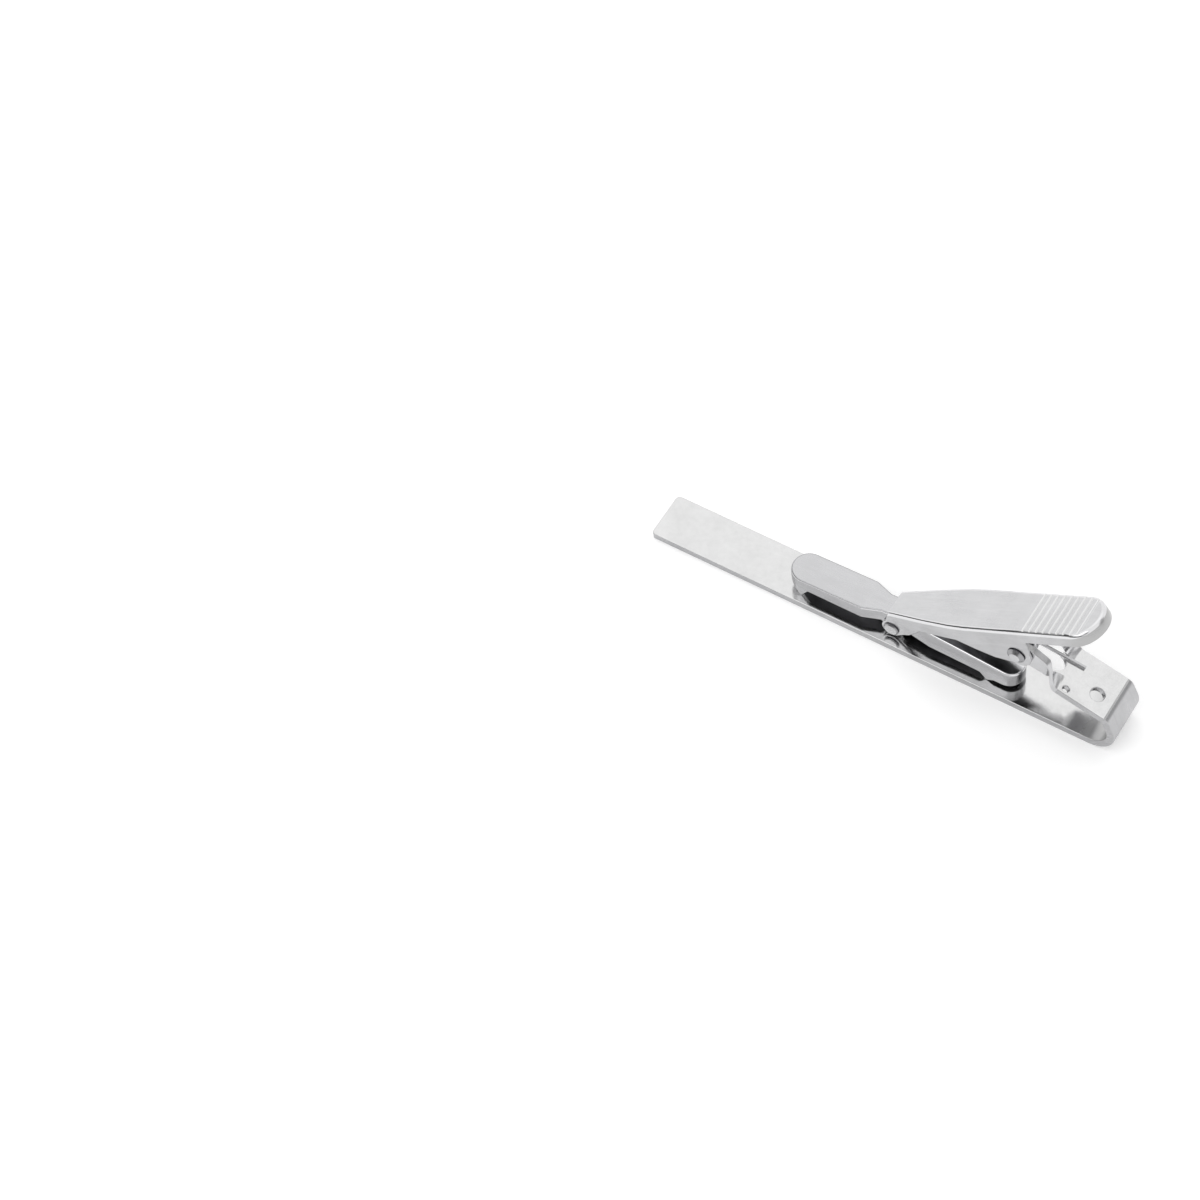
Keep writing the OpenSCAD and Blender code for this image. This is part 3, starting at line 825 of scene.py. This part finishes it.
@dataclass
class Spring:
    """The close-wound spring round the pivot, with a leg on the tail and one under the grip."""

    centre: tuple[float, float, float] = (17.6686, 0.0, 11.4085)
    wire: float = 0.42 * MM
    wire_sides: int = 14
    coil_radius: float = 1.35 * MM
    first_y: float = 0.4964 * MM
    last_y: float = -1.46 * MM
    tail_angle: float = -16.5
    grip_angle: float = 50.37
    whole_turns: int = 4
    tail_leg: float = 7.2 * MM
    tail_lean: float = 0.543 * MM
    grip_leg: float = 5.6 * MM
    steps_per_turn: int = 32
    leg_parts: tuple[float, float] = (0.96, 0.04)

    def build(self) -> bpy.types.Object:
        """Builds the spring by spinning its wire round the pivot.

        Returns:
            The spring's object.
        """
        shape = Shape()
        centre = Vector(self.centre) * MM
        begin = math.radians(self.tail_angle - 90.0)
        out = Vector((math.cos(begin), 0.0, math.sin(begin)))
        ring = bmesh.ops.create_circle(shape.mesh, radius=self.wire / 2, segments=self.wire_sides)["verts"]
        turn = Matrix((out, Y_AXIS, out.cross(Y_AXIS))).transposed().to_4x4()
        bmesh.ops.transform(shape.mesh, verts=ring, matrix=turn)
        bmesh.ops.translate(shape.mesh, verts=ring,
                            vec=centre + out * self.coil_radius + Vector((0.0, self.first_y, 0.0)))
        first = shape.mesh.edges[:]
        sweep = 360.0 * self.whole_turns + 180.0 - (self.grip_angle - self.tail_angle)
        steps = round(sweep / 360.0 * self.steps_per_turn)
        spun = bmesh.ops.spin(shape.mesh, geom=ring + first, cent=centre, axis=Y_AXIS,
                              dvec=(0.0, (self.last_y - self.first_y) / steps, 0.0),
                              angle=math.radians(sweep), steps=steps)
        last = [e for e in spun["geom_last"] if isinstance(e, bmesh.types.BMEdge)]
        self.leg(shape, first, self.tail_angle, self.tail_leg, self.tail_lean)
        self.leg(shape, last, self.grip_angle, self.grip_leg, 0.0)
        bmesh.ops.holes_fill(shape.mesh, edges=[e for e in shape.mesh.edges if e.is_boundary])
        bmesh.ops.recalc_face_normals(shape.mesh, faces=shape.mesh.faces)
        piece = shape.object("wound_spring", [WIRE])
        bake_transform(piece)
        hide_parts("spring")
        log.info("%s bends from bar_body to lever_body for spring", piece.name)
        return piece

    def leg(self, shape: Shape, ring: list[bmesh.types.BMEdge], angle: float, length: float,
            lean: float) -> None:
        """Draws a straight leg out of one end of the coil.

        Args:
            shape: The spring's mesh.
            ring: Edges round the wire where the leg begins.
            angle: Direction of the leg in the side view, in degrees.
            length: Its length, in metres.
            lean: How far it leans sideways, in metres.
        """
        turned = math.radians(angle)
        span = Vector((math.cos(turned) * length, lean, math.sin(turned) * length))
        for part in self.leg_parts:
            made = bmesh.ops.extrude_edge_only(shape.mesh, edges=ring)["geom"]
            points = [v for v in made if isinstance(v, bmesh.types.BMVert)]
            ring = [e for e in made if isinstance(e, bmesh.types.BMEdge)
                    and all(v in points for v in e.verts)]
            bmesh.ops.translate(shape.mesh, verts=points, vec=span * part)


@dataclass(frozen=True)
class TentPatch:
    """A soft round patch of the tent that the steel mirrors.

    The way is its direction, spread the angle from its middle to its edge, soft half the width of
    that edge, both in degrees, and shade the share of the light that it takes away.
    """

    way: tuple[float, float, float]
    spread: float
    soft: float
    shade: float


SOFTBOX = (-0.20, -0.36, 0.44)
FOLD_GAP = TentPatch((-0.96, -0.20, 0.14), 10.0, 4.0, 0.9)
CREASE_GAP = TentPatch((0.47, 0.42, 0.775), 5.0, 4.0, 0.7)
SIDE_GAP = TentPatch((0.80, 0.42, 0.42), 16.0, 8.0, 0.58)
NEAR_GAP = TentPatch((0.34, -0.78, 0.52), 9.0, 4.0, 0.85)
LAMP_GAP = TentPatch(SOFTBOX, 18.0, 3.0, 0.55)
BRIGHT_SKY = TentPatch((-0.34, 0.42, 0.84), 18.0, 14.0, -0.2)


@dataclass(frozen=True)
class TentBand:
    """The low band of the tent on the near side, where the room behind the camera shows.

    Each pair says where the band's edge begins and where it is full, on one axis.
    """

    low: tuple[float, float] = (0.46, 0.32)
    near: tuple[float, float] = (-0.02, -0.2)
    left: tuple[float, float] = (0.6, 0.1)
    risen: tuple[float, float] = (-0.1, 0.0)
    shade: float = 0.82


@dataclass
class Studio:
    """Floor, lamp, world and camera."""

    floor_reach: float = 2.0
    floor_drop: float = 0.02 * MM
    paper_tone: float = 0.9
    contact: float = 0.15 * MM
    paper_glow: float = 0.08
    direct_glow: float = 0.09
    softbox: Vector = Vector(SOFTBOX)
    softbox_width: float = 0.43
    softbox_power: float = 0.62
    world_level: float = 1.0
    patches: tuple[TentPatch, ...] = (FOLD_GAP, CREASE_GAP, SIDE_GAP, NEAR_GAP, LAMP_GAP, BRIGHT_SKY)
    tent_band: TentBand = TentBand()
    focal_length: float = 105.0
    camera_place: tuple[float, float, float] = (0.10769, -0.18391, 0.33921)
    camera_right: tuple[float, float, float] = (0.8462, 0.5268, -0.0804)
    camera_up: tuple[float, float, float] = (-0.4082, 0.7378, 0.5376)
    camera_back: tuple[float, float, float] = (0.3425, -0.4221, 0.8394)
    camera_clip: tuple[float, float] = (0.01, 20.0)

    def build(self) -> None:
        """Builds the floor, the world, the lamp and the camera."""
        self.floor()
        self.world()
        self.lamp()
        self.camera()

    def floor(self) -> None:
        """Lays the pale floor under the clip."""
        mesh = bmesh.new()
        bmesh.ops.create_grid(mesh, x_segments=1, y_segments=1, size=self.floor_reach)
        bmesh.ops.translate(mesh, verts=mesh.verts, vec=(0.0, 0.0, -self.floor_drop))
        made = bpy.data.meshes.new("pale_floor")
        mesh.to_mesh(made)
        mesh.free()
        made.materials.append(self.paper())
        floor = bpy.data.objects.new("pale_floor", made)
        bpy.context.scene.collection.objects.link(floor)

    def paper(self) -> bpy.types.Material:
        """Builds the floor's paper, seen through from below and by mirror rays that start on it.

        Returns:
            The material.
        """
        paper = bpy.data.materials.new("pale_paper")
        paper.use_nodes = True
        make = NodeMaker(paper.node_tree)
        shader = make.value(paper.node_tree.nodes["Principled BSDF"], Roughness=0.95,
                            Specular_IOR_Level=0.0, Emission_Color=WHITE)
        rays = make.add("ShaderNodeLightPath").outputs
        seen = make.math("MAXIMUM", rays["Is Camera Ray"],
                         make.math("MAXIMUM", rays["Is Glossy Ray"], rays["Is Transmission Ray"]))
        tone = make.math("MULTIPLY_ADD", seen, 1.0 - self.paper_tone, self.paper_tone)
        direct = make.math("MULTIPLY", rays["Is Camera Ray"], self.direct_glow)
        glow = make.math("MULTIPLY_ADD", seen, self.paper_glow, direct)
        make.join(glow, shader.inputs["Emission Strength"])
        grey = make.add("ShaderNodeCombineColor")
        for channel in grey.inputs:
            make.join(tone, channel)
        make.join(grey.outputs["Color"], shader.inputs["Base Color"])
        clear = make.add("ShaderNodeBsdfTransparent")
        side = make.add("ShaderNodeNewGeometry")
        mix = make.add("ShaderNodeMixShader")
        touching = make.math("MULTIPLY", rays["Is Glossy Ray"],
                             make.math("LESS_THAN", rays["Ray Length"], self.contact))
        make.join(make.math("MAXIMUM", side.outputs["Backfacing"], touching), mix.inputs[0])
        make.join(shader.outputs["BSDF"], mix.inputs[1])
        make.join(clear.outputs["BSDF"], mix.inputs[2])
        make.join(mix.outputs["Shader"], paper.node_tree.nodes["Material Output"].inputs["Surface"])
        return paper

    def world(self) -> None:
        """Lights the room as a pale tent with a few dark gaps for the steel to mirror."""
        world = bpy.data.worlds.new("pale_tent")
        bpy.context.scene.world = world
        world.use_nodes = True
        make = NodeMaker(world.node_tree)
        back = make.value(world.node_tree.nodes["Background"], Color=WHITE)
        way = make.add("ShaderNodeTexCoord").outputs["Generated"]
        level = self.world_level
        for patch in self.patches:
            level = make.math("MULTIPLY", level, self.patch(make, way, patch))
        level = make.math("MULTIPLY", level, self.band(make, way))
        seen = make.add("ShaderNodeLightPath").outputs["Is Camera Ray"]
        level = make.math("ADD", make.math("MULTIPLY", level, make.math("SUBTRACT", 1.0, seen)), seen)
        make.join(level, back.inputs["Strength"])

    def band(self, make: NodeMaker, way: bpy.types.NodeSocket) -> bpy.types.NodeSocket:
        """Darkens the tent's low band.

        Args:
            make: Maker of the world's nodes.
            way: The direction that is looked in.

        Returns:
            A factor, 1 outside the band.
        """
        split = make.add("ShaderNodeSeparateXYZ")
        make.join(way, split.inputs[0])
        shape = self.tent_band
        low, near, left, risen = (make.ramp(split.outputs[axis], From_Min=start, From_Max=end)
                                  for axis, (start, end) in (("Z", shape.low), ("Y", shape.near),
                                                             ("X", shape.left), ("Z", shape.risen)))
        inside = make.math("MULTIPLY", make.math("MULTIPLY", low, near), make.math("MULTIPLY", left, risen))
        return make.math("MULTIPLY_ADD", inside, -shape.shade, 1.0)

    def patch(self, make: NodeMaker, way: bpy.types.NodeSocket, patch: TentPatch) -> bpy.types.NodeSocket:
        """Darkens or brightens the tent in one patch.

        Args:
            make: Maker of the world's nodes.
            way: The direction that is looked in.
            patch: The patch.

        Returns:
            A factor, 1 outside the patch.
        """
        dot = make.add("ShaderNodeVectorMath", operation="DOT_PRODUCT")
        make.join(way, dot.inputs[0])
        dot.inputs[1].default_value = Vector(patch.way).normalized()
        edge = math.cos(math.radians(patch.spread + patch.soft))
        full = math.cos(math.radians(max(0.0, patch.spread - patch.soft)))
        return make.ramp(dot.outputs["Value"], From_Min=edge, From_Max=full, To_Min=1.0,
                         To_Max=1.0 - patch.shade)

    def lamp(self) -> None:
        """Hangs one soft lamp that faces the clip."""
        light = bpy.data.lights.new("front_softbox", "AREA")
        light.shape, light.size, light.energy = "SQUARE", self.softbox_width, self.softbox_power
        lamp = bpy.data.objects.new("front_softbox", light)
        lamp.location = self.softbox
        lamp.rotation_mode = "QUATERNION"
        lamp.rotation_quaternion = (-self.softbox).to_track_quat("-Z", "Y")
        bpy.context.scene.collection.objects.link(lamp)

    def camera(self) -> None:
        """Sets the camera at the photograph's viewing angle."""
        lens = bpy.data.cameras.new("view")
        lens.sensor_width, lens.lens = 36.0, self.focal_length
        lens.clip_start, lens.clip_end = self.camera_clip
        camera = bpy.data.objects.new("view", lens)
        turn = Matrix((self.camera_right, self.camera_up, self.camera_back)).transposed().to_4x4()
        camera.matrix_world = Matrix.Translation(self.camera_place) @ turn
        bpy.context.scene.collection.objects.link(camera)
        bpy.context.scene.camera = camera


def main() -> None:
    """Builds the clip's looks and the studio."""
    logging.basicConfig(level=logging.INFO, format="%(message)s")
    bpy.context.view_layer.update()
    bpy.context.scene.view_settings.view_transform = "Standard"
    Strip().build()
    Lever().build()
    Jaw().build()
    Rivet("pivot_rivet", "pivot_pin", "bar_body", centre=Vector((17.6686, 0.0, 11.4085)) * MM,
          radius=0.8 * MM, head_radius=1.08 * MM, head_height=0.42 * MM, grip=3.05 * MM,
          face_share=0.58).build()
    Rivet("jaw_rivet", "jaw_pin", "lever_body", centre=Vector((1.28907, 0.0, 2.5)) * MM,
          radius=0.6 * MM, head_radius=0.95 * MM, head_height=0.24 * MM, grip=1.81 * MM,
          face_share=0.82).build()
    Spring().build()
    Studio().build()


if __name__ == "__main__":
    main()
